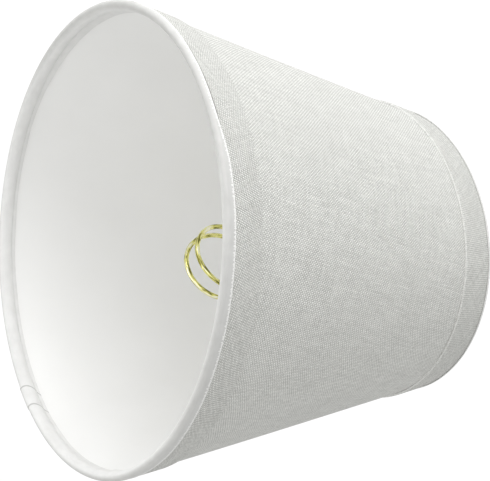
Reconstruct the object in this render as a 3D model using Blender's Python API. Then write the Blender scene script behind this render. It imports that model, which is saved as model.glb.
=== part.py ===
"""Small empire lamp shade that clips onto a candle bulb.

The wall is linen laminated to a white plastic liner and rolled into a cone. A wire ring
stiffens each end, and a bias tape wraps each ring: a flat band outside, a rolled edge round
the ring, and a narrow hem inside. A recessed cross wire hangs from the top ring. A saddle
swivels on it and carries, on a rivet, two spring wire loops that grip the bulb.

The shade stands upright with the middle of its bottom rim at the origin and +Z up its axis.
X runs along the cross wire, the way the two loops spread. All lengths are in metres.
"""

from collections import namedtuple
from math import atan, cos, hypot, pi, radians, sin, tan

import bmesh
import bpy
from mathutils import Matrix, Vector

# Driving dimensions of the shade: a 4 x 6 x 5 inch empire.
BOTTOM_RADIUS = 0.0762
TOP_RADIUS = 0.0508
HEIGHT = 0.1244
TOP_OVAL = 0.052  # share by which the top is drawn in one way and out across it
TOP_OVAL_TURN = radians(-8.2)  # the way the top is drawn in, from the cross wire

GAP = 0.0003  # clearance between touching pieces
TAPE_THICKNESS = 0.0004
COVER_THICKNESS = 0.0004
LINER_THICKNESS = 0.0004
RING_WIRE_RADIUS = 0.0007
BAND_WIDTH = 0.0145  # the tape's flat band outside, along the slope
HEM_DEPTH = 0.0045  # the tape's hem inside, down from the rim
FLAT_ANGLE = radians(68)  # where the rolled edge's round side meets its flat rim

SEAM_ANGLE = radians(108)  # where the rolled wall's ends meet
LAP_STEPS = 2  # wall segments by which the liner overlaps itself
LAP_GAP = 0.0002
COVER_JOINT = radians(0.12)  # half the opening where the cover's ends meet

# Driving dimensions of the cross wire and the clip.
CROSS_WIRE_RADIUS = 0.0008
CROSS_WIRE_BEND = 0.004
CROSS_WIRE_SHELF = 0.0052  # level run at each end before the wire drops
CROSS_WIRE_FLOOR = 0.029  # half the level run across the middle
SWIVEL_HEIGHT = 0.102
CLIP_LEAN = radians(7.6)  # how far the clip is turned on the cross wire
SADDLE_THICKNESS = 0.0006
SADDLE_LENGTH = 0.008  # along the cross wire
SADDLE_DROP = 0.0085  # how far its legs reach below the cross wire
RIVET_DROP = 0.005
RIVET_RADIUS = 0.0009
RIVET_HEAD_RADIUS = 0.0019
RIVET_HEAD_HEIGHT = 0.0011
LOOP_WIRE_RADIUS = 0.0008
LOOP_REACH = 0.063  # from the rivet down to the loops' tips
LOOP_HALF_WIDTH = 0.0121
LOOP_TIP_LENGTH = 0.0128  # from a tip up to its loop's widest place
LOOP_TIP_SPREAD = 0.00385  # from the clip's middle plane to a tip
LOOP_WAIST_SPREAD = 0.00265
LOOP_WAIST_HEIGHT = 0.020  # above the tips
LOOP_NECK_HEIGHT = 0.038
LOOP_BOW = 0.006  # how far the shanks bow out round the bulb
LOOP_RING_TURN = radians(120)  # how much of the ring is drawn each way from its tip
EYE_TURN = radians(250)  # how far each wire end curls round the rivet

# Smoothness of the meshes.
SEGMENTS = 72
RING_SIDES = 8
TURNED_SIDES = 16

# What follows from the driving dimensions.
TAPER = (TOP_RADIUS - BOTTOM_RADIUS) / HEIGHT
WALL_COS = 1.0 / hypot(1.0, TAPER)
BEAD_RADIUS = RING_WIRE_RADIUS + GAP + TAPE_THICKNESS
COVER_INSET = TAPE_THICKNESS + GAP
LINER_INSET = COVER_INSET + COVER_THICKNESS + GAP
LAP_INSET = LINER_THICKNESS + LAP_GAP
HEM_INSET = LINER_INSET + LINER_THICKNESS + LAP_INSET + GAP
BEAD_DEPTH = BEAD_RADIUS * sin(FLAT_ANGLE)
WALL_DEPTH = BEAD_DEPTH + RING_WIRE_RADIUS + GAP  # from a rim to the wall's cut edge
HEM_START = WALL_DEPTH - GAP
EYE_RADIUS = RIVET_RADIUS + GAP + LOOP_WIRE_RADIUS
SADDLE_INNER = CROSS_WIRE_RADIUS + GAP
SADDLE_OUTER = SADDLE_INNER + SADDLE_THICKNESS
INNER_EYE_Y = SADDLE_OUTER + GAP + LOOP_WIRE_RADIUS
OUTER_EYE_Y = INNER_EYE_Y + 2.0 * LOOP_WIRE_RADIUS + GAP
RIVET_HALF_LENGTH = OUTER_EYE_Y + LOOP_WIRE_RADIUS + GAP

# An end of the shade. Depth is counted from its rim into the shade.
End = namedtuple("End", "name radius rim_z inward taper")
BOTTOM = End("bottom", BOTTOM_RADIUS, 0.0, 1.0, TAPER)
TOP = End("top", TOP_RADIUS, HEIGHT, -1.0, -TAPER)


# ---------------------------------------------------------------- materials and objects

def make_material(name, colour, roughness, metallic=0.0):
    material = bpy.data.materials.new(name)
    material.use_nodes = True
    shader = material.node_tree.nodes["Principled BSDF"]
    shader.inputs["Base Color"].default_value = (*colour, 1.0)
    shader.inputs["Roughness"].default_value = roughness
    shader.inputs["Metallic"].default_value = metallic
    material.diffuse_color = (*colour, 1.0)
    return material


def add_object(name, data, material):
    data.materials.append(material)
    piece = bpy.data.objects.new(name, data)
    bpy.context.scene.collection.objects.link(piece)
    return piece


def add_mesh(name, bm, material):
    """Turn a finished bmesh into a smooth-shaded object, with its faces pointing out."""
    bmesh.ops.recalc_face_normals(bm, faces=bm.faces)
    mesh = bpy.data.meshes.new(name)
    bm.to_mesh(mesh)
    bm.free()
    mesh.shade_smooth()
    mesh.set_sharp_from_angle(angle=radians(40))
    return add_object(name, mesh, material)


def add_wire(name, points, radius, rings, material):
    """A round wire with flat ends along the points."""
    curve = bpy.data.curves.new(name, "CURVE")
    curve.dimensions = "3D"
    curve.bevel_depth = radius
    curve.bevel_resolution = rings
    curve.use_fill_caps = True
    spline = curve.splines.new("POLY")
    spline.points.add(len(points) - 1)
    for place, point in zip(spline.points, points):
        place.co = (*point, 1.0)
    spline.use_smooth = True
    return add_object(name, curve, material)


def attach(child, parent, location=(0.0, 0.0, 0.0)):
    child.parent = parent
    child.location = location


def cut(piece, cutter):
    """Cut a hidden guide shape out of a piece."""
    cutter.hide_render = True
    cutter.display_type = "WIRE"
    modifier = piece.modifiers.new("cut", "BOOLEAN")
    modifier.operation = "DIFFERENCE"
    modifier.solver = "EXACT"
    modifier.object = cutter


def add_rod(name, radius, length, axis, material):
    """A plain cylinder through the origin, along X or Y."""
    turn = Matrix.Rotation(pi / 2.0, 4, "Y" if axis == "X" else "X")
    bm = bmesh.new()
    bmesh.ops.create_cone(bm, cap_ends=True, segments=TURNED_SIDES, radius1=radius,
                          radius2=radius, depth=length, matrix=turn)
    return add_mesh(name, bm, material)


# ---------------------------------------------------------------- shapes

def arc(start, stop, steps):
    """Evenly spaced angles from start to stop, both included."""
    return [start + (stop - start) * step / steps for step in range(steps + 1)]


def ovalness(z, angle):
    """How much farther out than the plain round cone the shade lies in this direction."""
    return 1.0 - TOP_OVAL * z / HEIGHT * cos(2.0 * (angle - TOP_OVAL_TURN))


def shade_point(radius, z, angle):
    reach = radius * ovalness(z, angle)
    return Vector((reach * cos(angle), reach * sin(angle), z))


def face_radius(end, depth, inset):
    """Radius of a surface that lies inset inside the outermost cone."""
    return end.radius + end.taper * depth - inset / WALL_COS


def height_at(end, depth):
    return end.rim_z + end.inward * depth


def bead_centre_radius(end):
    return face_radius(end, BEAD_DEPTH, BEAD_RADIUS)


def sweep(section, angles, closed, inset_at=None):
    """Carry a section of (radius, z) points round the shade through the angles."""
    bm = bmesh.new()
    copies = []
    for angle in angles:
        shift = inset_at(angle) if inset_at else 0.0
        copies.append([bm.verts.new(shade_point(radius - shift, z, angle)) for radius, z in section])
    pairs = list(zip(copies, copies[1:]))
    if closed:
        pairs.append((copies[-1], copies[0]))
    else:
        bm.faces.new(copies[0])
        bm.faces.new(copies[-1])
    count = len(section)
    for here, there in pairs:
        for index in range(count):
            after = (index + 1) % count
            bm.faces.new((here[index], here[after], there[after], there[index]))
    return bm


def full_turn():
    return [2.0 * pi * step / SEGMENTS for step in range(SEGMENTS)]


def wall_section(inset, thickness):
    """The cut through one layer of the wall, between the two rings."""
    low = BOTTOM, WALL_DEPTH
    high = TOP, WALL_DEPTH
    corners = [(low, inset), (high, inset), (high, inset + thickness), (low, inset + thickness)]
    return [(face_radius(end, depth, place), height_at(end, depth)) for (end, depth), place in corners]


def tape_contour(end, wrap_radius, band_inset, hem_inset):
    """One face of the tape, from the band's edge round the ring to the hem's edge."""
    lean = atan(-end.taper)
    angles = arc(lean, -FLAT_ANGLE, 2) + arc(FLAT_ANGLE - pi, lean - pi, 3)
    centre = bead_centre_radius(end)
    band_depth = BAND_WIDTH * WALL_COS
    points = [(face_radius(end, band_depth, band_inset), band_depth)]
    points += [(centre + wrap_radius * cos(angle), BEAD_DEPTH + wrap_radius * sin(angle))
               for angle in angles]
    points += [(face_radius(end, depth, hem_inset), depth) for depth in (HEM_START, HEM_DEPTH)]
    return points


def rounded_path(corners, bend_radius, steps):
    """Points along straight runs that are joined by round bends."""
    points = [corners[0]]
    for before, corner, after in zip(corners, corners[1:], corners[2:]):
        arriving = (corner - before).normalized()
        leaving = (after - corner).normalized()
        turn = arriving.angle(leaving)
        start = corner - arriving * bend_radius * tan(turn / 2.0)
        centre = corner + (leaving - arriving).normalized() * bend_radius / cos(turn / 2.0)
        axis = arriving.cross(leaving)
        points += [centre + Matrix.Rotation(angle, 3, axis) @ (start - centre)
                   for angle in arc(0.0, turn, steps)]
    points.append(corners[-1])
    return points


def loop_spread(height):
    """Distance of a loop's wire from the clip's middle plane, by height above its tip."""
    if height < LOOP_WAIST_HEIGHT:
        share = height / LOOP_WAIST_HEIGHT
        return LOOP_TIP_SPREAD - (LOOP_TIP_SPREAD - LOOP_WAIST_SPREAD) * share ** 2 * (3.0 - 2.0 * share)
    share = (height - LOOP_WAIST_HEIGHT) / (LOOP_REACH - LOOP_WAIST_HEIGHT)
    straight = LOOP_WAIST_SPREAD + (EYE_RADIUS - LOOP_WAIST_SPREAD) * share
    return straight + LOOP_BOW * sin(pi * share) ** 2


def neck_curve(start, slope, end, steps):
    """Smooth join from the ring part up to a straight shank, as (width, height) points."""
    span = (end[1] - start[1]) / 2.0
    first = (start[0] + slope[0] * span, start[1] + slope[1] * span)
    second = (end[0], end[1] - span)
    points = []
    for share in arc(0.0, 1.0, steps)[1:]:
        rest = 1.0 - share
        weights = (rest ** 3, 3.0 * rest ** 2 * share, 3.0 * rest * share ** 2, share ** 3)
        points.append(tuple(sum(weight * point[axis] for weight, point
                                in zip(weights, (start, first, second, end))) for axis in (0, 1)))
    return points


def loop_half(eye_y):
    """Half of a loop's wire in the plane of its width, from its tip up to the rivet."""
    ring = [(LOOP_HALF_WIDTH * sin(turn), LOOP_TIP_LENGTH * (1.0 - cos(turn)))
            for turn in arc(0.0, LOOP_RING_TURN, 9)]
    slope = Vector((LOOP_HALF_WIDTH * cos(LOOP_RING_TURN),
                    LOOP_TIP_LENGTH * sin(LOOP_RING_TURN))).normalized()
    neck = neck_curve(ring[-1], slope, (eye_y, LOOP_NECK_HEIGHT), 6)
    shank = [(eye_y, height) for height in arc(LOOP_NECK_HEIGHT, LOOP_REACH, 7)[1:]]
    return ring + neck + shank


def loop_path(side, eye_y):
    """A loop's whole wire, with the rivet's axis at the origin and the tip below it."""
    half = [Vector((side * loop_spread(height), width, height - LOOP_REACH))
            for width, height in loop_half(eye_y)]
    half += [Vector((side * EYE_RADIUS * cos(turn), eye_y, EYE_RADIUS * sin(turn)))
             for turn in arc(0.0, EYE_TURN, 10)[1:]]
    mirrored = [Vector((point.x, -point.y, point.z)) for point in half[:0:-1]]
    return mirrored + half


# ---------------------------------------------------------------- sub-parts of the shade

def make_liner(material):
    """Rigid white sheet, rolled up so that its ends overlap on the inside."""
    step = 2.0 * pi / SEGMENTS
    angles = [SEAM_ANGLE + step * index for index in range(SEGMENTS + LAP_STEPS + 1)]
    lap_starts = SEAM_ANGLE + 2.0 * pi - step / 2.0

    def inset_at(angle):
        return LAP_INSET if angle > lap_starts else 0.0

    bm = sweep(wall_section(LINER_INSET, LINER_THICKNESS), angles, False, inset_at)
    add_mesh("liner_panel", bm, material)


def make_cover(material):
    """Linen skin on the outside of the liner, whose ends meet at the seam."""
    angles = arc(SEAM_ANGLE, SEAM_ANGLE + 2.0 * pi, SEGMENTS)
    angles[0] += COVER_JOINT
    angles[-1] -= COVER_JOINT
    bm = sweep(wall_section(COVER_INSET, COVER_THICKNESS), angles, False)
    add_mesh("linen_cover", bm, material)


def make_ring(end, material):
    """Round wire hoop at one end of the shade."""
    section = [(bead_centre_radius(end) + RING_WIRE_RADIUS * cos(turn),
                height_at(end, BEAD_DEPTH + RING_WIRE_RADIUS * sin(turn)))
               for turn in arc(0.0, 2.0 * pi, RING_SIDES)[:-1]]
    add_mesh(end.name + "_ring", sweep(section, full_turn(), True), material)


def make_trim(end, material):
    """Bias tape folded over one ring: band outside, rolled edge, hem inside."""
    outer = tape_contour(end, BEAD_RADIUS, 0.0, HEM_INSET + TAPE_THICKNESS)
    inner = tape_contour(end, BEAD_RADIUS - TAPE_THICKNESS, TAPE_THICKNESS, HEM_INSET)
    section = [(radius, height_at(end, depth)) for radius, depth in outer + inner[::-1]]
    return add_mesh(end.name + "_trim", sweep(section, full_turn(), True), material)


def cross_wire_height():
    return height_at(TOP, BEAD_DEPTH)


def top_ring_reach():
    """Distance of the top ring's centre line from the axis, along X."""
    return bead_centre_radius(TOP) * ovalness(cross_wire_height(), 0.0)


def make_cross_wire(material):
    """Wire across the top ring, which drops to a level run that carries the clip."""
    end_x = top_ring_reach() - RING_WIRE_RADIUS - GAP
    half = [Vector((end_x, 0.0, cross_wire_height())),
            Vector((end_x - CROSS_WIRE_SHELF, 0.0, cross_wire_height())),
            Vector((CROSS_WIRE_FLOOR, 0.0, SWIVEL_HEIGHT))]
    corners = [Vector((-corner.x, 0.0, corner.z)) for corner in half] + half[::-1]
    add_wire("cross_wire", rounded_path(corners, CROSS_WIRE_BEND, 4), CROSS_WIRE_RADIUS, 4, material)


def cut_cross_wire_notches(top_trim, material):
    """Holes in the tape where the cross wire's two ends reach the ring."""
    cutter = add_rod("cross_wire_notch", CROSS_WIRE_RADIUS + GAP, 2.0 * top_ring_reach(), "X", material)
    cutter.location.z = cross_wire_height()
    cut(top_trim, cutter)


# ---------------------------------------------------------------- sub-parts of the clip

def make_saddle(pivot, material):
    """Metal strap folded over the cross wire, with the rivet through its two legs."""
    half_turn = arc(0.0, pi, 8)
    outline = [(SADDLE_OUTER, -SADDLE_DROP)]
    outline += [(SADDLE_OUTER * cos(turn), SADDLE_OUTER * sin(turn)) for turn in half_turn]
    outline += [(-SADDLE_OUTER, -SADDLE_DROP), (-SADDLE_INNER, -SADDLE_DROP)]
    outline += [(SADDLE_INNER * cos(turn), SADDLE_INNER * sin(turn)) for turn in half_turn[::-1]]
    outline.append((SADDLE_INNER, -SADDLE_DROP))
    bm = bmesh.new()
    face = bm.faces.new([bm.verts.new((-SADDLE_LENGTH / 2.0, y, z)) for y, z in outline])
    pushed = bmesh.ops.extrude_face_region(bm, geom=[face])["geom"]
    corners = [item for item in pushed if isinstance(item, bmesh.types.BMVert)]
    bmesh.ops.translate(bm, verts=corners, vec=(SADDLE_LENGTH, 0.0, 0.0))
    saddle = add_mesh("clip_saddle", bm, material)
    attach(saddle, pivot)
    hole = add_rod("rivet_hole", RIVET_RADIUS + GAP, 4.0 * SADDLE_OUTER, "Y", material)
    attach(hole, pivot, (0.0, 0.0, -RIVET_DROP))
    cut(saddle, hole)


def make_rivet(pivot, material):
    """Pin with a domed head at each end, along Y through the saddle and the loops' eyes."""
    rim = RIVET_HALF_LENGTH + 0.6 * RIVET_HEAD_HEIGHT
    top = RIVET_HALF_LENGTH + RIVET_HEAD_HEIGHT
    half = [(RIVET_RADIUS, 0.0), (RIVET_RADIUS, RIVET_HALF_LENGTH),
            (RIVET_HEAD_RADIUS, RIVET_HALF_LENGTH), (RIVET_HEAD_RADIUS, rim),
            (0.6 * RIVET_HEAD_RADIUS, top), (0.0, top)]
    profile = [(radius, -along) for radius, along in half[:0:-1]] + half[1:]
    bm = bmesh.new()
    corners = [bm.verts.new((radius, along, 0.0)) for radius, along in profile]
    edges = [bm.edges.new(pair) for pair in zip(corners, corners[1:])]
    bmesh.ops.spin(bm, geom=corners + edges, cent=(0.0, 0.0, 0.0), axis=(0.0, 1.0, 0.0),
                   angle=2.0 * pi, steps=TURNED_SIDES, use_merge=True)
    bmesh.ops.remove_doubles(bm, verts=bm.verts, dist=1e-6)
    attach(add_mesh("clip_rivet", bm, material), pivot, (0.0, 0.0, -RIVET_DROP))


def make_loop(name, side, eye_y, pivot, material):
    """One spring wire jaw, hung on the rivet by its two eyes."""
    loop = add_wire(name, loop_path(side, eye_y), LOOP_WIRE_RADIUS, 2, material)
    attach(loop, pivot, (0.0, 0.0, -RIVET_DROP))


def make_clip(material):
    pivot = bpy.data.objects.new("clip_swivel", None)
    bpy.context.scene.collection.objects.link(pivot)
    pivot.location.z = SWIVEL_HEIGHT
    pivot.rotation_euler.x = CLIP_LEAN
    make_saddle(pivot, material)
    make_rivet(pivot, material)
    make_loop("clip_loop_left", -1.0, INNER_EYE_Y, pivot, material)
    make_loop("clip_loop_right", 1.0, OUTER_EYE_Y, pivot, material)


def main():
    for item in list(bpy.data.objects):
        bpy.data.objects.remove(item)
    linen = make_material("white_linen", (0.80, 0.80, 0.76), 0.9)
    bias_tape = make_material("white_bias_tape", (0.82, 0.82, 0.78), 0.9)
    styrene = make_material("white_styrene", (0.86, 0.87, 0.85), 0.45)
    steel = make_material("white_coated_steel", (0.75, 0.75, 0.73), 0.5, 0.0)
    brass = make_material("brass", (0.78, 0.66, 0.30), 0.25, 1.0)
    make_liner(styrene)
    make_cover(linen)
    make_ring(BOTTOM, steel)
    make_ring(TOP, steel)
    make_trim(BOTTOM, bias_tape)
    top_trim = make_trim(TOP, bias_tape)
    make_cross_wire(brass)
    cut_cross_wire_notches(top_trim, bias_tape)
    make_clip(brass)


main()
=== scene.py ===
"""Looks of the small clip-on empire lamp shade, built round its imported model.

The wall is linen over a smooth white liner. Each rim has a flat band of the same linen, cut on
the bias, and a smooth white tape rolled over the wire ring. A brass clip hangs inside.
All lengths are in metres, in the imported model's frame: +Z up the shade's axis, X along the
cross wire.
"""

from bisect import bisect_left
from collections import namedtuple
from math import acos, asin, atan, cos, exp, hypot, pi, radians, sin

import bmesh
import bpy
from mathutils import Matrix, Vector, noise


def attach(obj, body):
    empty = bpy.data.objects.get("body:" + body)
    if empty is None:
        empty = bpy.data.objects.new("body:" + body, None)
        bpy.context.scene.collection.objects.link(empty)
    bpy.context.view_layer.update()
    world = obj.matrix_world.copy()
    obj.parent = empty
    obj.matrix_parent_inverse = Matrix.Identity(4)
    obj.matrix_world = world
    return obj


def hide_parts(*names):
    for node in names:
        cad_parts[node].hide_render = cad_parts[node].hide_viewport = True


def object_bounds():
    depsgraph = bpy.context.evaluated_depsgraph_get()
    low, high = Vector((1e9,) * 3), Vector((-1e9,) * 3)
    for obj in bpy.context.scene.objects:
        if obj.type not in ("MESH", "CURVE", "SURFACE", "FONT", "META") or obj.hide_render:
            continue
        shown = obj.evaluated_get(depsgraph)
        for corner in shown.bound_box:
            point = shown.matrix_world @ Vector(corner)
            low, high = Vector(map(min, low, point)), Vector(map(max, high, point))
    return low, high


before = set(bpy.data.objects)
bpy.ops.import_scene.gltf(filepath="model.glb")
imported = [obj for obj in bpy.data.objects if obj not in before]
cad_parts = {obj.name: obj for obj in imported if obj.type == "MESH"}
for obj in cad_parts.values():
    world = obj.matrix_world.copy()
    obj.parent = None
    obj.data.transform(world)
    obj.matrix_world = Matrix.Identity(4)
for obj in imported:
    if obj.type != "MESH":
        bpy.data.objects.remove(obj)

CAD_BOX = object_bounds()

# Driving dimensions of the shade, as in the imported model.
HEIGHT = CAD_BOX[1][2]
BOTTOM_RADIUS = 0.0762
TOP_RADIUS = 0.0508
TOP_OVAL = 0.052
TOP_OVAL_TURN = radians(-8.2)
RING_WIRE_RADIUS = 0.0007
GAP = 0.0003
BAND_WIDTH = 0.0145
TAPE_THICKNESS = 0.0004
SEAM_ANGLE = radians(108)

# Cloth and sheet, at their real thickness. An inset is counted into the wall from its outline.
LINEN_THICKNESS = 0.00028
LINEN_INSET = 0.0007
BAND_THICKNESS = 0.00032
LINER_INSET = 0.0014
LINER_THICKNESS = 0.0004
LAP_LIFT = 0.0003
LINER_LAP_LIFT = 0.00042
LAP_WIDTH = 0.0093
RIBBON_LAP_SHARE = 0.6  # how much of its own thickness a ribbon rises at its lap
BAND_SEAM = radians(175)
BAND_EDGE_INSET = 0.00068  # the band's rounded edge comes down to this inset
BAND_EDGE_ROUND = 0.0009
BAND_SINK = 0.00031  # how far the band goes down where the binding covers it
BAND_SINK_START = 0.0062
BAND_SINK_SPAN = 0.0025
BAND_SHADOW_START = 0.0122  # across the band, where the binding's edge shades it
BINDING_THICKNESS = 0.0003
BINDING_WIDTH = 0.0108
BINDING_SEAM = radians(162.5)
BINDING_HEM_INSET = 0.00218
BINDING_EDGE_RISE = 0.0001  # how far the outer edge lifts off the band
BINDING_EDGE_SPAN = 0.00035
ROLL_REACH = 0.00225  # half the height of the roll's flattened inner side
WEAVE_PITCH = 0.00055
BIAS_PITCH = 0.00048

# The clip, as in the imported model.
CROSS_WIRE_RADIUS = 0.0008
CROSS_WIRE_BEND = 0.004
CROSS_WIRE_SHELF = 0.0052
CROSS_WIRE_FLOOR = 0.029
SWIVEL_HEIGHT = 0.102
CLIP_LEAN = radians(7.6)
SADDLE_THICKNESS = 0.0006
SADDLE_LENGTH = 0.008
SADDLE_DROP = 0.0085
RIVET_DROP = 0.005
RIVET_RADIUS = 0.0009
RIVET_HEAD_RADIUS = 0.0019
RIVET_HEAD_HEIGHT = 0.0011
LOOP_WIRE_RADIUS = 0.0008
LOOP_REACH = 0.063
LOOP_HALF_WIDTH = 0.0121
LOOP_TIP_LENGTH = 0.0128
LOOP_TIP_SPREAD = 0.00385
LOOP_WAIST_SPREAD = 0.00265
LOOP_WAIST_HEIGHT = 0.020
LOOP_NECK_HEIGHT = 0.038
LOOP_BOW = 0.006
LOOP_RING_TURN = radians(120)
EYE_TURN = radians(250)

# Smoothness of the meshes.
TURN_STEPS = 720
WALL_ROWS = 28
WIRE_SIDES = 16

# What follows from the driving dimensions.
TAPER = (TOP_RADIUS - BOTTOM_RADIUS) / HEIGHT
SLOPE = hypot(1.0, TAPER)
WALL_COS = 1.0 / SLOPE
APEX_Z = -BOTTOM_RADIUS / TAPER
BEAD_RADIUS = RING_WIRE_RADIUS + GAP + TAPE_THICKNESS
BEAD_DEPTH = BEAD_RADIUS * sin(radians(68))
WALL_DEPTH = BEAD_DEPTH + RING_WIRE_RADIUS + GAP
EYE_RADIUS = RIVET_RADIUS + GAP + LOOP_WIRE_RADIUS
SADDLE_INNER = CROSS_WIRE_RADIUS + GAP
SADDLE_OUTER = SADDLE_INNER + SADDLE_THICKNESS
INNER_EYE_Y = SADDLE_OUTER + GAP + LOOP_WIRE_RADIUS
OUTER_EYE_Y = INNER_EYE_Y + 2.0 * LOOP_WIRE_RADIUS + GAP
RIVET_HALF_LENGTH = OUTER_EYE_Y + LOOP_WIRE_RADIUS + GAP

# An end of the shade. Depth is counted from its rim into the shade. The binding's outer edge
# lies between its two edge depths.
End = namedtuple("End", "name radius rim_z inward taper low_edge high_edge")
BOTTOM = End("bottom", BOTTOM_RADIUS, 0.0, 1.0, TAPER, 0.0017, 0.0034)
TOP = End("top", TOP_RADIUS, HEIGHT, -1.0, -TAPER, 0.0012, 0.0013)


# ---------------------------------------------------------------- material wiring

class Wiring:
    """Short forms for a material's nodes. A value may be a number or another node's output."""

    def __init__(self, name):
        self.material = bpy.data.materials.new(name)
        self.material.use_nodes = True
        self.tree = self.material.node_tree
        self.shader = self.tree.nodes["Principled BSDF"]

    def plug(self, socket, value):
        if isinstance(value, bpy.types.NodeSocket):
            self.tree.links.new(value, socket)
        else:
            socket.default_value = value

    def math(self, operation, *values):
        node = self.tree.nodes.new("ShaderNodeMath")
        node.operation = operation
        for socket, value in zip(node.inputs, values):
            self.plug(socket, value)
        return node.outputs[0]

    def cloth_map(self):
        """The two coordinates of the flat cloth, in metres."""
        node = self.tree.nodes.new("ShaderNodeUVMap")
        node.uv_map = "cloth"
        split = self.tree.nodes.new("ShaderNodeSeparateXYZ")
        self.tree.links.new(node.outputs[0], split.inputs[0])
        return split.outputs[0], split.outputs[1]

    def place(self):
        return self.tree.nodes.new("ShaderNodeTexCoord").outputs["Object"]

    def point(self, x, y, z=0.0):
        node = self.tree.nodes.new("ShaderNodeCombineXYZ")
        for socket, value in zip(node.inputs, (x, y, z)):
            self.plug(socket, value)
        return node.outputs[0]

    def noise(self, where, scale, detail=2.0, roughness=0.5):
        node = self.tree.nodes.new("ShaderNodeTexNoise")
        self.plug(node.inputs["Vector"], where)
        node.inputs["Scale"].default_value = scale
        node.inputs["Detail"].default_value = detail
        node.inputs["Roughness"].default_value = roughness
        return node.outputs["Fac"]

    def spread(self, value, low, high, to_low=0.0, to_high=1.0, kind="LINEAR"):
        node = self.tree.nodes.new("ShaderNodeMapRange")
        node.interpolation_type = kind
        for socket, item in zip(node.inputs, (value, low, high, to_low, to_high)):
            self.plug(socket, item)
        return node.outputs[0]

    def mix(self, share, first, second):
        node = self.tree.nodes.new("ShaderNodeMix")
        node.data_type = "RGBA"
        self.plug(node.inputs[0], share)
        for socket, value in zip((node.inputs[6], node.inputs[7]), (first, second)):
            self.plug(socket, value if isinstance(value, bpy.types.NodeSocket) else (*value, 1.0))
        return node.outputs[2]

    def bump(self, height, distance, strength=1.0):
        node = self.tree.nodes.new("ShaderNodeBump")
        node.inputs["Strength"].default_value = strength
        node.inputs["Distance"].default_value = distance
        self.plug(node.inputs["Height"], height)
        self.tree.links.new(node.outputs[0], self.shader.inputs["Normal"])

    def set(self, **values):
        for name, value in values.items():
            self.plug(self.shader.inputs[name.replace("_", " ")], value)


def thread_noise(w, along, across, seed):
    """Unevenness that runs along a thread, in long slubs and short dashes, and changes from
    thread to thread."""
    long = w.noise(w.point(w.math("MULTIPLY", along, 0.05), across, seed), 1.0, 1.0)
    short = w.noise(w.point(w.math("MULTIPLY", along, 0.33), across, seed + 50.0), 1.0, 1.0)
    return w.math("ADD", w.math("MULTIPLY", long, 0.5), w.math("MULTIPLY", short, 0.5))


def weave(w, s, t, seed):
    """A plain weave. s and t count threads. Returns its height, the top thread's own tone, and
    1 where a thread of the first system lies on top."""
    lean = w.noise(w.point(w.math("MULTIPLY", s, 0.03), w.math("MULTIPLY", t, 0.03), seed), 1.0, 1.0)
    wander = w.math("MULTIPLY", w.math("SUBTRACT", lean, 0.5), 1.6)
    s = w.math("ADD", s, wander)
    t = w.math("ADD", t, w.math("MULTIPLY", wander, 0.7))
    over_s = w.math("SINE", w.math("MULTIPLY", s, pi))
    over_t = w.math("SINE", w.math("MULTIPLY", t, pi))
    round_s = w.math("ABSOLUTE", over_s)
    round_t = w.math("ABSOLUTE", over_t)
    slub_s = thread_noise(w, t, w.math("MULTIPLY", w.math("FLOOR", s), 7.3), seed + 3.0)
    slub_t = thread_noise(w, s, w.math("MULTIPLY", w.math("FLOOR", t), 7.3), seed + 7.0)
    wave_s = w.math("MULTIPLY", w.math("SIGN", over_s), over_t)
    wave_t = w.math("MULTIPLY", w.math("SIGN", over_t), over_s)
    lift_s = w.math("ADD", w.math("MULTIPLY", round_s, 0.7), w.math("MULTIPLY", wave_s, 0.55))
    lift_t = w.math("SUBTRACT", w.math("MULTIPLY", round_t, 0.7), w.math("MULTIPLY", wave_t, 0.55))
    lift_s = w.math("ADD", lift_s, w.spread(slub_s, 0.35, 0.65, -0.1, 0.15))
    lift_t = w.math("ADD", lift_t, w.spread(slub_t, 0.35, 0.65, -0.1, 0.15))
    height = w.math("MAXIMUM", lift_s, lift_t)
    on_top = w.math("GREATER_THAN", lift_s, lift_t)
    tone = w.math("ADD", w.math("MULTIPLY", slub_s, on_top),
                  w.math("MULTIPLY", slub_t, w.math("SUBTRACT", 1.0, on_top)))
    return height, tone, on_top


# ---------------------------------------------------------------- materials

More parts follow.
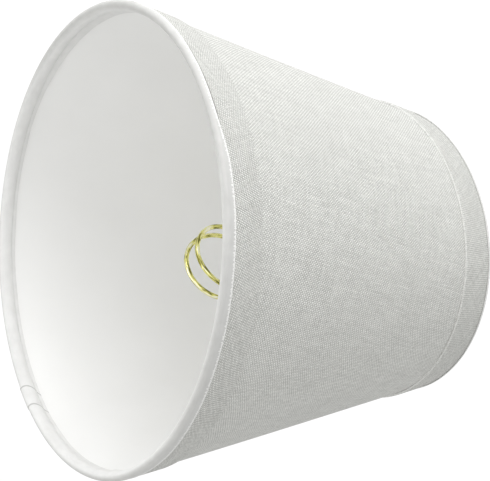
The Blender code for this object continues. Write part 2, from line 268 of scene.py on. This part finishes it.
def linen(name, turn, pitch, thread, painted_gap_shade, seed, painted_edge_tone=None, crevice=None):
    """Off-white linen whose threads are turned from the cloth's own axes, with painted shade in the
    hollows between threads. The tone given for the rounded edge along v = 0 is painted there: a
    painted highlight on the top band and painted shade on the bottom band. Beyond v = crevice the
    cloth has a painted shadow."""
    w = Wiring(name)
    u, v = w.cloth_map()
    along = w.math("ADD", w.math("MULTIPLY", u, cos(turn) / pitch),
                   w.math("MULTIPLY", v, sin(turn) / pitch))
    across = w.math("SUBTRACT", w.math("MULTIPLY", v, cos(turn) / pitch),
                    w.math("MULTIPLY", u, sin(turn) / pitch))
    height, tone, on_top = weave(w, along, across, seed)
    warp = w.mix(w.spread(tone, 0.36, 0.64), tuple(0.86 * c for c in thread), thread)
    weft = w.mix(w.spread(tone, 0.36, 0.64), tuple(0.52 * c for c in thread),
                 tuple(0.72 * c for c in thread))
    yarn = w.mix(on_top, weft, warp)
    # painted shade: the hollows between threads, found from the weave's height, are painted in the
    # darker gap colour
    depth = w.spread(height, 0.25, 0.85, 0.0, 1.0)
    patch = w.noise(w.place(), 28.0, 3.0)
    colour = w.mix(depth, painted_gap_shade, yarn)
    aged_and_painted_light = w.mix(w.spread(patch, 0.35, 0.75, 0.0, 0.10), colour, tuple(0.86 * c for c in thread))
    # painted light: the rounded edge is painted in the given tone, a painted highlight on the top band
    # and painted shade on the bottom band, broken into dashes
    if painted_edge_tone:
        dashes = w.noise(w.point(w.math("MULTIPLY", u, 900.0), 0.0, seed), 1.0, 1.0)
        at_edge = w.math("MULTIPLY", w.spread(v, 0.0004, 0.0009, 0.85, 0.0),
                         w.spread(dashes, 0.3, 0.6, 0.3, 1.0))
        aged_and_painted_light = w.mix(at_edge, aged_and_painted_light, painted_edge_tone)
    if crevice:
        aged_and_painted_light = w.mix(w.spread(v, crevice, crevice + 0.0003, 0.0, 0.85), aged_and_painted_light, (0.16, 0.15, 0.14))
    w.set(Base_Color=aged_and_painted_light, Roughness=w.spread(tone, 0.2, 0.8, 0.95, 0.78))
    w.set(Sheen_Weight=0.12, Sheen_Roughness=0.5, Specular_IOR_Level=0.25)
    w.bump(height, 0.00016)
    return w.material


def smooth_tape():
    """Fine glazed white tape, with a faint crosswise grain, a few scuffs and dark lines at its lap
    joint. Its outer side is painted darker as painted shade, and its outer edge has a painted
    highlight.
    """
    w = Wiring("smooth_binding_tape")
    u, v = w.cloth_map()
    grain = w.noise(w.point(w.math("MULTIPLY", u, 1500.0), w.math("MULTIPLY", v, 250.0)), 1.0, 2.0)
    ripple = w.noise(w.point(w.math("MULTIPLY", u, 220.0), w.math("MULTIPLY", v, 420.0)), 1.0, 3.0)
    scuff = w.noise(w.place(), 190.0, 4.0, 0.7)
    # painted shade: the tape round the outside of the ring is painted darker than the part inside the
    # shade
    outside = w.mix(w.spread(ripple, 0.3, 0.8), (0.62, 0.62, 0.61), (0.55, 0.55, 0.54))
    inside = w.mix(w.spread(ripple, 0.3, 0.8), (0.80, 0.80, 0.795), (0.73, 0.73, 0.725))
    base = w.mix(w.spread(v, 0.0034, 0.0050), outside, inside)
    scuffed_and_painted_light = w.mix(w.spread(scuff, 0.70, 0.80, 0.0, 0.45), base, (0.40, 0.40, 0.38))
    joint = (BINDING_SEAM + 2.0 * pi) * BOTTOM_RADIUS
    hook = w.math("MULTIPLY", w.math("POWER", w.math("SUBTRACT", v, 0.0055), 2.0), 180.0)
    for place in (joint - LAP_WIDTH / 2.0, joint + LAP_WIDTH / 2.0 - 0.0005):
        off = w.math("ABSOLUTE", w.math("SUBTRACT", w.math("ADD", u, hook), place))
        line = w.math("MULTIPLY", w.spread(off, 0.0001, 0.00045, 1.0, 0.0),
                      w.spread(v, 0.0034, 0.0042))
        scuffed_and_painted_light = w.mix(w.math("MULTIPLY", line, 0.6), scuffed_and_painted_light, (0.30, 0.30, 0.29))
    # painted highlight: a bright ragged line along the tape's outer edge
    tooth = w.noise(w.point(w.math("MULTIPLY", u, 1600.0), 0.0), 1.0, 1.0)
    reach = w.spread(tooth, 0.35, 0.65, 0.00015, 0.0009)
    edge = w.math("LESS_THAN", v, reach)
    scuffed_and_painted_light = w.mix(w.math("MULTIPLY", edge, 0.8), scuffed_and_painted_light, (0.86, 0.86, 0.85))
    w.set(Base_Color=scuffed_and_painted_light, Roughness=w.spread(grain, 0.3, 0.7, 0.5, 0.62))
    w.set(Specular_IOR_Level=0.4, Sheen_Weight=0.05)
    w.bump(w.math("ADD", w.math("MULTIPLY", grain, 0.15), ripple), 0.00022)
    return w.material


def liner_plastic():
    """Smooth white styrene sheet with a satin shine and a slight waviness."""
    w = Wiring("satin_white_liner")
    wave = w.noise(w.place(), 22.0, 2.0)
    fine = w.noise(w.place(), 900.0, 3.0)
    cloud = w.noise(w.place(), 40.0, 4.0)
    tint = w.mix(w.spread(cloud, 0.3, 0.75), (0.925, 0.925, 0.922), (0.90, 0.90, 0.896))
    w.set(Base_Color=tint, Roughness=w.spread(fine, 0.3, 0.7, 0.38, 0.46))
    w.set(Specular_IOR_Level=0.5, Coat_Weight=0.08, Coat_Roughness=0.22)
    w.bump(w.math("ADD", wave, w.math("MULTIPLY", fine, 0.012)), 0.0006, 0.5)
    return w.material


def brass(name, roughness):
    """Bright yellow brass plate with a painted reflection of dark streaks and painted near-white
    highlights along it, and a little tarnish.
    """
    w = Wiring(name)
    where = w.place()
    around, along = w.cloth_map()
    streak_place = w.point(w.math("MULTIPLY", around, 1100.0), w.math("MULTIPLY", along, 170.0))
    streak = w.noise(streak_place, 1.0, 3.0, 0.6)
    tarnish = w.noise(where, 260.0, 4.0, 0.65)
    colour = w.mix(w.spread(tarnish, 0.45, 0.75), (0.93, 0.89, 0.33), (0.74, 0.70, 0.20))
    # painted reflection: dark streaks along the wire stand in for dark surroundings mirrored in it,
    # and near-white streaks are painted highlights
    colour = w.mix(w.spread(streak, 0.51, 0.60), colour, (0.18, 0.17, 0.03))
    colour = w.mix(w.spread(streak, 0.47, 0.40), colour, (1.0, 0.98, 0.78))
    w.set(Base_Color=colour, Metallic=1.0)
    w.set(Roughness=w.spread(tarnish, 0.3, 0.8, roughness, roughness + 0.14))
    w.bump(streak, 0.00003, 0.5)
    return w.material


def coated_steel():
    w = Wiring("white_coated_ring_wire")
    speckle = w.noise(w.place(), 700.0, 3.0)
    w.set(Base_Color=w.mix(w.spread(speckle, 0.4, 0.7), (0.78, 0.78, 0.76), (0.70, 0.70, 0.68)))
    w.set(Roughness=w.spread(speckle, 0.3, 0.7, 0.4, 0.55))
    w.bump(speckle, 0.00005)
    return w.material


# ---------------------------------------------------------------- shared shapes

def arc(start, stop, steps):
    """Evenly spaced values from start to stop, both included."""
    return [start + (stop - start) * step / steps for step in range(steps + 1)]


def smooth_step(value):
    share = min(max(value, 0.0), 1.0)
    return share * share * (3.0 - 2.0 * share)


def ovalness(z, angle):
    return 1.0 - TOP_OVAL * z / HEIGHT * cos(2.0 * (angle - TOP_OVAL_TURN))


def shade_point(radius, z, angle):
    reach = radius * ovalness(z, angle)
    return Vector((reach * cos(angle), reach * sin(angle), z))


def face_radius(end, depth, inset):
    return end.radius + end.taper * depth - inset / WALL_COS


def height_at(end, depth):
    return end.rim_z + end.inward * depth


def bead_centre_radius(end):
    return face_radius(end, BEAD_DEPTH, BEAD_RADIUS)


def finish_mesh(name, bm, material, body):
    bmesh.ops.recalc_face_normals(bm, faces=bm.faces)
    mesh = bpy.data.meshes.new(name)
    bm.to_mesh(mesh)
    bm.free()
    mesh.materials.append(material)
    mesh.shade_smooth()
    mesh.set_sharp_from_angle(angle=radians(50))
    piece = bpy.data.objects.new(name, mesh)
    bpy.context.scene.collection.objects.link(piece)
    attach(piece, body)
    return piece


def skin(bm, columns, closed_round, cloth_at):
    """Faces between neighbouring columns of points. cloth_at gives a corner's flat place."""
    layer = bm.loops.layers.uv.new("cloth")
    count = len(columns[0])
    pairs = list(zip(columns, columns[1:]))
    if closed_round:
        pairs.append((columns[-1], columns[0]))
    for column, (here, there) in enumerate(pairs):
        for row in range(count):
            after = (row + 1) % count
            corners = ((here, column, row), (here, column, after),
                       (there, column + 1, after), (there, column + 1, row))
            face = bm.faces.new([points[at] for points, _, at in corners])
            for loop, (_, place, at) in zip(face.loops, corners):
                loop[layer].uv = cloth_at(place, at)
    if not closed_round:
        for points, place in ((columns[0], 0), (columns[-1], len(columns) - 1)):
            face = bm.faces.new(points)
            for loop, vert in zip(face.loops, points):
                loop[layer].uv = cloth_at(place, points.index(vert))


def map_flat(bm):
    """Lay a small part's faces out by their own places, along X and round Y and Z."""
    layer = bm.loops.layers.uv.new("cloth")
    for face in bm.faces:
        for loop in face.loops:
            loop[layer].uv = (loop.vert.co.y + loop.vert.co.z, loop.vert.co.x)


def rounded_path(corners, bend_radius, steps):
    """Points along straight runs that are joined by round bends."""
    points = [corners[0]]
    for before, corner, after in zip(corners, corners[1:], corners[2:]):
        arriving = (corner - before).normalized()
        leaving = (after - corner).normalized()
        turn = arriving.angle(leaving)
        start = corner - arriving * bend_radius * sin(turn / 2.0) / cos(turn / 2.0)
        centre = corner + (leaving - arriving).normalized() * bend_radius / cos(turn / 2.0)
        axis = arriving.cross(leaving)
        points += [centre + Matrix.Rotation(angle, 3, axis) @ (start - centre)
                   for angle in arc(0.0, turn, steps)]
    points.append(corners[-1])
    return points


def clip_frame():
    """The clip's own frame: the swivel's axis at its origin, turned as the clip leans."""
    return Matrix.Translation((0.0, 0.0, SWIVEL_HEIGHT)) @ Matrix.Rotation(CLIP_LEAN, 4, "X")


def wire_mesh(name, points, radius, material, body, place=None):
    """A round wire along the points, with its two ends rounded off."""
    tangents = [(after - before).normalized()
                for before, after in zip([points[0]] + points[:-1], points[1:] + [points[-1]])]
    side = tangents[0].orthogonal().normalized()
    bm = bmesh.new()
    rings = []
    for point, tangent in zip(points, tangents):
        side = (side - tangent * side.dot(tangent)).normalized()
        up = tangent.cross(side)
        rings.append((point, side.copy(), up, radius))
    first, end = rings[0], rings[-1]
    caps = ((0.55, 0.80), (0.30, 0.95))
    front = [(first[0] - tangents[0] * radius * (share - 0.55), first[1], first[2], radius * size)
             for share, size in caps]
    back = [(end[0] + tangents[-1] * radius * (share - 0.55), end[1], end[2], radius * size)
            for share, size in caps[::-1]]
    chain = front + rings[1:-1] + back
    loops = []
    for point, across, up, reach in chain:
        loops.append([bm.verts.new(point + across * reach * cos(turn) + up * reach * sin(turn))
                      for turn in arc(0.0, 2.0 * pi, WIRE_SIDES)[:-1]])
    layer = bm.loops.layers.uv.new("cloth")
    side_width = 2.0 * pi * radius / WIRE_SIDES
    travelled = 0.0
    for here, there, start, stop in zip(loops, loops[1:], chain, chain[1:]):
        reached = travelled + (stop[0] - start[0]).length
        for index in range(WIRE_SIDES):
            after = (index + 1) % WIRE_SIDES
            face = bm.faces.new((here[index], here[after], there[after], there[index]))
            flat = ((index, travelled), (index + 1, travelled), (index + 1, reached), (index, reached))
            for loop, (step, along) in zip(face.loops, flat):
                loop[layer].uv = (step * side_width, along)
        travelled = reached
    bm.faces.new(loops[0])
    bm.faces.new(loops[-1])
    if place is not None:
        bm.transform(place)
    return finish_mesh(name, bm, material, body)


# ---------------------------------------------------------------- the wall

def wall_heights():
    low = height_at(BOTTOM, WALL_DEPTH)
    high = height_at(TOP, WALL_DEPTH)
    return arc(low, high, WALL_ROWS)


def flat_cone_place(z, angle):
    """Where a point of the wall lies on the cloth before it is rolled up."""
    slant = (APEX_Z - z) * SLOPE
    turn = (angle - SEAM_ANGLE - pi) * -TAPER / SLOPE
    return slant * sin(turn), slant * cos(turn)


def wall_sheet(name, inset, thickness, lift, ripple, material):
    """One layer of the rolled wall, whose last part laps over its first part."""
    lap_turn = LAP_WIDTH / BOTTOM_RADIUS
    angles = arc(SEAM_ANGLE, SEAM_ANGLE + 2.0 * pi + lap_turn, TURN_STEPS)
    heights = wall_heights()
    outside = [(z, 0.0) for z in heights]
    inside = [(z, thickness) for z in heights[::-1]]
    section = outside + inside
    bm = bmesh.new()
    columns = []
    for angle in angles:
        over = smooth_step((angle - SEAM_ANGLE - 2.0 * pi + 0.02) / 0.02)
        column = []
        for z, depth in section:
            place = Vector((cos(angle), sin(angle), 3.0 * z)) * 4.0
            wave = ripple * noise.noise(place)
            shift = inset + depth - lift * over + wave
            radius = BOTTOM_RADIUS + TAPER * z - shift / WALL_COS
            column.append(bm.verts.new(shade_point(radius, z, angle)))
        columns.append(column)
    skin(bm, columns, False, lambda place, at: flat_cone_place(section[at][0], angles[place]))
    return finish_mesh(name, bm, material, "shade")


def make_wall(linen_material, liner_material):
    cover = wall_sheet("linen_wall", LINEN_INSET, LINEN_THICKNESS, LAP_LIFT, 0.00012, linen_material)
    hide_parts("linen_cover")
    liner = wall_sheet("liner_wall", LINER_INSET, LINER_THICKNESS, -LINER_LAP_LIFT, 0.0001,
                       liner_material)
    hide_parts("liner_panel")


# ---------------------------------------------------------------- band and binding

def contour_length(points):
    return [0.0] + [hypot(b[0] - a[0], b[1] - a[1]) for a, b in zip(points, points[1:])]


def running_total(values):
    total = 0.0
    totals = []
    for value in values:
        total += value
        totals.append(total)
    return totals


def ribbon(name, end, contour, thickness, seam, material):
    """A strip round one end whose last part laps over its first.

    contour(shift, lift, angle) gives one face of its section, from edge to edge: shift counts
    into the cloth, and lift raises the cloth off what it lies on.
    """
    outer = contour(0.0, 0.0, seam)
    along = running_total(contour_length(outer))
    along = along + along[::-1]
    lap_turn = LAP_WIDTH / end.radius
    angles = arc(seam - lap_turn / 2.0, seam + 2.0 * pi + lap_turn / 2.0, TURN_STEPS)
    lap_starts = angles[-1] - lap_turn
    bm = bmesh.new()
    columns = []
    for angle in angles:
        over = smooth_step((angle - lap_starts + 0.015) / 0.015)
        lift = over * RIBBON_LAP_SHARE * thickness
        section = contour(0.0, lift, angle) + contour(thickness, lift, angle)[::-1]
        columns.append([bm.verts.new(shade_point(radius, height_at(end, depth), angle))
                        for radius, depth in section])
    skin(bm, columns, False, lambda place, at: (angles[place] * end.radius, along[at]))
    piece = finish_mesh(name, bm, material, "shade")
    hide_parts(end.name + "_trim")
    return piece


def bead_point(end, radius, angle):
    return bead_centre_radius(end) + radius * cos(angle), BEAD_DEPTH + radius * sin(angle)


def make_band(end, material):
    """Flat bias band outside: its edge on the wall is rounded, the other reaches the ring."""
    lean = atan(-end.taper)
    edge = BAND_WIDTH * WALL_COS

    def contour(shift, lift, angle):
        rounded = []
        for turn in arc(pi / 2.0, pi, 6):
            depth = edge - BAND_EDGE_ROUND + (BAND_EDGE_ROUND - shift) * sin(turn)
            inset = shift - lift + (BAND_EDGE_INSET - shift) * (1.0 + cos(turn))
            rounded.append((face_radius(end, depth, inset), depth))
        flat = []
        for depth in arc(edge - BAND_EDGE_ROUND, BEAD_DEPTH + 0.0006, 14)[1:]:
            sunk = BAND_SINK * smooth_step((BAND_SINK_START - depth) / BAND_SINK_SPAN)
            flat.append((face_radius(end, depth, shift - lift + sunk), depth))
        turned = [bead_point(end, BEAD_RADIUS - BAND_SINK - shift + lift, turn)
                  for turn in arc(lean, radians(-45), 5)]
        return rounded + flat + turned

    return ribbon(end.name + "_band", end, contour, BAND_THICKNESS, BAND_SEAM, material)


ROLL_TURNS = arc(-pi / 2.0, pi / 2.0, 60)
ROLL_RUNS = running_total(contour_length([(BEAD_RADIUS * cos(turn), ROLL_REACH * sin(turn))
                                          for turn in ROLL_TURNS]))


def roll_turn(run):
    """The turn round the flattened inner side of the roll at a distance along it."""
    at = min(max(bisect_left(ROLL_RUNS, run), 1), len(ROLL_RUNS) - 1)
    share = (run - ROLL_RUNS[at - 1]) / (ROLL_RUNS[at] - ROLL_RUNS[at - 1])
    return ROLL_TURNS[at - 1] + (ROLL_TURNS[at] - ROLL_TURNS[at - 1]) * share


def roll_run(turn):
    """The distance along the roll's flattened inner side at a turn round it."""
    share = (turn - ROLL_TURNS[0]) / (ROLL_TURNS[1] - ROLL_TURNS[0])
    at = min(int(share), len(ROLL_RUNS) - 2)
    return ROLL_RUNS[at] + (ROLL_RUNS[at + 1] - ROLL_RUNS[at]) * (share - at)


def wrap_point(end, run, shift, hem_inset):
    """A point of the binding's face. run counts from where it leaves the outside for the ring,
    goes round under it, up the roll's flattened inner side and on to the liner."""
    lean = atan(-end.taper)
    if run < 0.0:
        depth = BEAD_DEPTH + BEAD_RADIUS * sin(lean) - run * WALL_COS
        return face_radius(end, depth, shift), depth
    under = BEAD_RADIUS * (lean + pi / 2.0)
    if run <= under:
        return bead_point(end, BEAD_RADIUS - shift, lean - run / BEAD_RADIUS)
    middle_inset = BEAD_RADIUS - end.taper * BEAD_RADIUS * WALL_COS
    middle_depth = BEAD_DEPTH - BEAD_RADIUS + ROLL_REACH
    last_turn = acos(min((hem_inset - middle_inset) / BEAD_RADIUS, 1.0))
    turn = min(roll_turn(run - under), last_turn)
    across = Vector((cos(turn) / BEAD_RADIUS, sin(turn) / ROLL_REACH)).normalized()
    depth = middle_depth + ROLL_REACH * sin(turn) - shift * across.y
    inset = middle_inset + BEAD_RADIUS * cos(turn) - shift * across.x
    if turn == last_turn:
        rest = run - under - roll_run(last_turn)
        depth = middle_depth + ROLL_REACH * sin(turn) + rest * WALL_COS
        inset = hem_inset - shift
    return face_radius(end, depth, inset), depth


def lap_rise(angle):
    """How far the hem is lifted where it passes over the liner's lap."""
    turn = (angle - SEAM_ANGLE + pi) % (2.0 * pi) - pi
    up = smooth_step((turn + 0.05) / 0.03)
    down = smooth_step((LAP_WIDTH / BOTTOM_RADIUS + 0.03 - turn) / 0.03)
    return LINER_LAP_LIFT * up * down


def edge_depth(end, angle):
    """How deep the binding's outer edge lies. It is low from 290 to 2 degrees round the shade
    and high from 16 to 240, and it wanders and is a little ragged."""
    turn = (angle + radians(30)) % (2.0 * pi)
    share = smooth_step((turn - radians(32)) / radians(14))
    share *= smooth_step((radians(320) - turn) / radians(50))
    round_place = Vector((cos(angle), sin(angle), 0.0))
    depth = end.low_edge + (end.high_edge - end.low_edge) * share
    return depth + 0.00025 * noise.noise(round_place * 5.0) + 0.00007 * noise.noise(round_place * 70.0)


def run_at(end, depth):
    """How far along the binding's face a place on the outside lies, as wrap_point counts it."""
    lean = atan(-end.taper)
    joint = BEAD_DEPTH + BEAD_RADIUS * sin(lean)
    if depth > joint:
        return (joint - depth) / WALL_COS
    return (lean - asin((depth - BEAD_DEPTH) / BEAD_RADIUS)) * BEAD_RADIUS


def make_binding(end, material):
    """Smooth tape rolled over the ring and the band's edge, with its hem inside."""
    steps = arc(0.0, 0.0006, 6) + arc(0.0006, BINDING_WIDTH, 48)[1:]

    def contour(shift, lift, angle):
        start = run_at(end, edge_depth(end, angle))
        hem_inset = BINDING_HEM_INSET + lap_rise(angle)
        points = []
        for step in steps:
            rise = BINDING_EDGE_RISE * exp(-(step / BINDING_EDGE_SPAN) ** 2)
            points.append(wrap_point(end, start + step, shift - lift - rise, hem_inset))
        return points

    return ribbon(end.name + "_binding", end, contour, BINDING_THICKNESS, BINDING_SEAM,
                  material)


# ---------------------------------------------------------------- the clip

def loop_spread(height):
    """Distance of a loop's wire from the clip's middle plane, by height above its tip."""
    if height < LOOP_WAIST_HEIGHT:
        narrowing = LOOP_TIP_SPREAD - LOOP_WAIST_SPREAD
        return LOOP_TIP_SPREAD - narrowing * smooth_step(height / LOOP_WAIST_HEIGHT)
    share = (height - LOOP_WAIST_HEIGHT) / (LOOP_REACH - LOOP_WAIST_HEIGHT)
    straight = LOOP_WAIST_SPREAD + (EYE_RADIUS - LOOP_WAIST_SPREAD) * share
    return straight + LOOP_BOW * sin(pi * share) ** 2


def neck_curve(start, slope, end, steps):
    """Smooth join from the ring part up to a straight shank, as (width, height) points."""
    span = (end[1] - start[1]) / 2.0
    first = (start[0] + slope[0] * span, start[1] + slope[1] * span)
    second = (end[0], end[1] - span)
    points = []
    for share in arc(0.0, 1.0, steps)[1:]:
        rest = 1.0 - share
        weights = (rest ** 3, 3.0 * rest ** 2 * share, 3.0 * rest * share ** 2, share ** 3)
        points.append(tuple(sum(weight * point[axis] for weight, point
                                in zip(weights, (start, first, second, end))) for axis in (0, 1)))
    return points


def loop_path(side, eye_y):
    """A loop's whole wire, with the rivet's axis at the origin and the tip below it."""
    ring = [(LOOP_HALF_WIDTH * sin(turn), LOOP_TIP_LENGTH * (1.0 - cos(turn)))
            for turn in arc(0.0, LOOP_RING_TURN, 36)]
    slope = Vector((LOOP_HALF_WIDTH * cos(LOOP_RING_TURN),
                    LOOP_TIP_LENGTH * sin(LOOP_RING_TURN))).normalized()
    neck = neck_curve(ring[-1], slope, (eye_y, LOOP_NECK_HEIGHT), 24)
    shank = [(eye_y, height) for height in arc(LOOP_NECK_HEIGHT, LOOP_REACH, 20)[1:]]
    half = [Vector((side * loop_spread(height), width, height - LOOP_REACH))
            for width, height in ring + neck + shank]
    half += [Vector((side * EYE_RADIUS * cos(turn), eye_y, EYE_RADIUS * sin(turn)))
             for turn in arc(0.0, EYE_TURN, 30)[1:]]
    mirrored = [Vector((point.x, -point.y, point.z)) for point in half[:0:-1]]
    return mirrored + half


def make_loops(material):
    place = clip_frame() @ Matrix.Translation((0.0, 0.0, -RIVET_DROP))
    for name, side, eye_y in (("left", -1.0, INNER_EYE_Y), ("right", 1.0, OUTER_EYE_Y)):
        loop = wire_mesh(name + "_spring_loop", loop_path(side, eye_y), LOOP_WIRE_RADIUS, material,
                         name + "_loop", place)
        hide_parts("clip_loop_" + name)


def make_cross_wire(material):
    top_z = height_at(TOP, BEAD_DEPTH)
    end_x = bead_centre_radius(TOP) * ovalness(top_z, 0.0) - RING_WIRE_RADIUS - GAP
    half = [Vector((end_x, 0.0, top_z)),
            Vector((end_x - CROSS_WIRE_SHELF, 0.0, top_z)),
            Vector((CROSS_WIRE_FLOOR, 0.0, SWIVEL_HEIGHT))]
    corners = [Vector((-corner.x, 0.0, corner.z)) for corner in half] + half[::-1]
    wire = wire_mesh("dropped_cross_wire", rounded_path(corners, CROSS_WIRE_BEND, 14),
                     CROSS_WIRE_RADIUS, material, "shade")
    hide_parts("cross_wire")


def make_saddle(material):
    """Strap folded over the cross wire, with rounded lower ends and soft edges."""
    half_turn = arc(0.0, pi, 24)
    outline = [(SADDLE_OUTER, -SADDLE_DROP)]
    outline += [(SADDLE_OUTER * cos(turn), SADDLE_OUTER * sin(turn)) for turn in half_turn]
    outline += [(-SADDLE_OUTER, -SADDLE_DROP), (-SADDLE_INNER, -SADDLE_DROP)]
    outline += [(SADDLE_INNER * cos(turn), SADDLE_INNER * sin(turn)) for turn in half_turn[::-1]]
    outline.append((SADDLE_INNER, -SADDLE_DROP))
    bm = bmesh.new()
    face = bm.faces.new([bm.verts.new((-SADDLE_LENGTH / 2.0, y, z)) for y, z in outline])
    pushed = bmesh.ops.extrude_face_region(bm, geom=[face])["geom"]
    moved = [item for item in pushed if isinstance(item, bmesh.types.BMVert)]
    bmesh.ops.translate(bm, verts=moved, vec=(SADDLE_LENGTH, 0.0, 0.0))
    sharp = [edge for edge in bm.edges if edge.calc_face_angle(0.0) > radians(50)]
    bmesh.ops.bevel(bm, geom=sharp, offset=0.00018, segments=3, affect="EDGES", profile=0.5)
    map_flat(bm)
    bm.transform(clip_frame())
    saddle = finish_mesh("folded_saddle", bm, material, "clip")
    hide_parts("clip_saddle")


def make_rivet(material):
    dome = [(RIVET_HEAD_RADIUS * cos(turn), RIVET_HALF_LENGTH + 0.25 * RIVET_HEAD_HEIGHT
             + 0.75 * RIVET_HEAD_HEIGHT * sin(turn)) for turn in arc(0.0, pi / 2.0, 10)[:-1]]
    half = [(RIVET_RADIUS, 0.0), (RIVET_RADIUS, RIVET_HALF_LENGTH),
            (0.96 * RIVET_HEAD_RADIUS, RIVET_HALF_LENGTH)] + dome
    half.append((0.0, RIVET_HALF_LENGTH + RIVET_HEAD_HEIGHT))
    profile = [(radius, -along) for radius, along in half[:0:-1]] + half[1:]
    bm = bmesh.new()
    corners = [bm.verts.new((radius, along, 0.0)) for radius, along in profile]
    edges = [bm.edges.new(pair) for pair in zip(corners, corners[1:])]
    bmesh.ops.spin(bm, geom=corners + edges, cent=(0.0, 0.0, 0.0), axis=(0.0, 1.0, 0.0),
                   angle=2.0 * pi, steps=40, use_merge=True)
    bmesh.ops.remove_doubles(bm, verts=bm.verts, dist=1e-6)
    map_flat(bm)
    bm.transform(clip_frame() @ Matrix.Translation((0.0, 0.0, -RIVET_DROP)))
    rivet = finish_mesh("domed_rivet", bm, material, "clip")
    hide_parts("clip_rivet")


# ---------------------------------------------------------------- stage, lights and camera

CAMERA_PLACE = Vector((0.32026, 0.19003, -0.19467))
CAMERA_AHEAD = Vector((-0.71076, -0.42465, 0.56080))
CAMERA_UP = Vector((0.49988, -0.86581, -0.02206))
CAMERA_LENS = 96.526
FLOOR_Z = -1.0


def turned_to(ahead, up):
    """A rotation whose -Z looks ahead, with +Y as near to up as it can be."""
    back = -ahead.normalized()
    right = up.cross(back).normalized()
    return Matrix((right, back.cross(right), back)).transposed().to_quaternion()


def make_camera():
    data = bpy.data.cameras.new("camera")
    data.lens = CAMERA_LENS
    data.sensor_width = 36.0
    data.clip_start = 0.01
    camera = bpy.data.objects.new("camera", data)
    camera.location = CAMERA_PLACE
    camera.rotation_mode = "QUATERNION"
    camera.rotation_quaternion = turned_to(CAMERA_AHEAD, CAMERA_UP)
    bpy.context.scene.collection.objects.link(camera)
    bpy.context.scene.camera = camera


def area_light(name, direction, distance, size, power):
    """A round soft light that faces the middle of the shade."""
    centre = Vector((0.0, 0.0, HEIGHT / 2.0))
    data = bpy.data.lights.new(name, "AREA")
    data.shape = "DISK"
    data.size = size
    data.energy = power
    light = bpy.data.objects.new(name, data)
    light.location = centre + direction.normalized() * distance
    light.rotation_mode = "QUATERNION"
    light.rotation_quaternion = turned_to(centre - light.location, Vector((0.1, 0.2, 1.0)))
    bpy.context.scene.collection.objects.link(light)


def make_lights():
    """Soft lights, placed as the camera sees them: most light comes from above the picture."""
    up = CAMERA_UP
    right = CAMERA_AHEAD.cross(CAMERA_UP).normalized()
    back = -CAMERA_AHEAD
    area_light("key", up * 0.9 + back * 0.4, 1.0, 0.7, 4.4)
    area_light("high_right", up * 0.85 + back * 0.35 + right * 0.4, 1.0, 0.7, 2.6)
    area_light("front", back, 1.0, 0.7, 0.8)
    area_light("left", back * 0.4 - right * 0.9, 0.8, 0.6, 0.7)


def make_world():
    world = bpy.data.worlds.new("studio")
    world.use_nodes = True
    tree = world.node_tree
    seen = tree.nodes["Background"]
    seen.inputs[0].default_value = (1.0, 1.0, 1.0, 1.0)
    seen.inputs[1].default_value = 1.05
    felt = tree.nodes.new("ShaderNodeBackground")
    felt.inputs[0].default_value = (1.0, 1.0, 0.99, 1.0)
    right = CAMERA_AHEAD.cross(CAMERA_UP).normalized()
    bright_side = 0.12 * CAMERA_UP - 0.08 * right
    where = tree.nodes.new("ShaderNodeTexCoord")
    slope = tree.nodes.new("ShaderNodeVectorMath")
    slope.operation = "DOT_PRODUCT"
    slope.inputs[1].default_value = bright_side
    tree.links.new(where.outputs["Generated"], slope.inputs[0])
    level = tree.nodes.new("ShaderNodeMath")
    level.operation = "ADD"
    level.inputs[1].default_value = 0.86
    tree.links.new(slope.outputs["Value"], level.inputs[0])
    tree.links.new(level.outputs[0], felt.inputs[1])
    path = tree.nodes.new("ShaderNodeLightPath")
    join = tree.nodes.new("ShaderNodeMixShader")
    tree.links.new(path.outputs["Is Camera Ray"], join.inputs[0])
    tree.links.new(felt.outputs[0], join.inputs[1])
    tree.links.new(seen.outputs[0], join.inputs[2])
    tree.links.new(join.outputs[0], tree.nodes["World Output"].inputs[0])
    bpy.context.scene.world = world
    bpy.context.scene.view_settings.view_transform = "Standard"


def make_floor():
    bm = bmesh.new()
    bmesh.ops.create_grid(bm, x_segments=8, y_segments=8, size=3.0)
    mesh = bpy.data.meshes.new("pale_floor")
    bm.to_mesh(mesh)
    bm.free()
    w = Wiring("pale_floor")
    w.set(Base_Color=(0.86, 0.86, 0.85, 1.0), Roughness=0.7)
    mesh.materials.append(w.material)
    floor = bpy.data.objects.new("pale_floor", mesh)
    floor.location.z = FLOOR_Z
    bpy.context.scene.collection.objects.link(floor)


# ---------------------------------------------------------------- build

def main():
    thread = (0.885, 0.89, 0.86)
    wall_linen = linen("wall_linen", radians(-10), WEAVE_PITCH, thread, (0.36, 0.36, 0.34), 11.0)
    # The two bands get their own copies of the bias linen that differ in painted light: the bottom
    # copy has painted shade on its edge, darker painted shade between its threads and a painted shadow
    # beyond the binding; the top copy has a painted highlight on its edge, slightly darker threads and
    # another thread turn.
    bottom_bias = linen("bottom_bias_linen_painted_shade", radians(67), BIAS_PITCH, thread, (0.25, 0.25, 0.23),
                        23.0, (0.50, 0.50, 0.48), BAND_SHADOW_START)
    top_bias = linen("top_bias_linen_painted_highlight", radians(40), BIAS_PITCH, (0.84, 0.845, 0.815),
                     (0.34, 0.34, 0.32), 31.0, (0.88, 0.88, 0.86))
    tape = smooth_tape()
    make_wall(wall_linen, liner_plastic())
    for end, bias_linen in ((BOTTOM, bottom_bias), (TOP, top_bias)):
        make_band(end, bias_linen)
        make_binding(end, tape)
    steel = coated_steel()
    for node in ("bottom_ring", "top_ring"):
        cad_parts[node].data.materials.clear()
        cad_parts[node].data.materials.append(steel)
    wire_brass = brass("bright_brass_wire", 0.16)
    strap_brass = brass("bright_brass_strap", 0.24)
    make_loops(wire_brass)
    make_cross_wire(wire_brass)
    make_saddle(strap_brass)
    make_rivet(strap_brass)
    make_floor()
    make_world()
    make_lights()
    make_camera()


main()
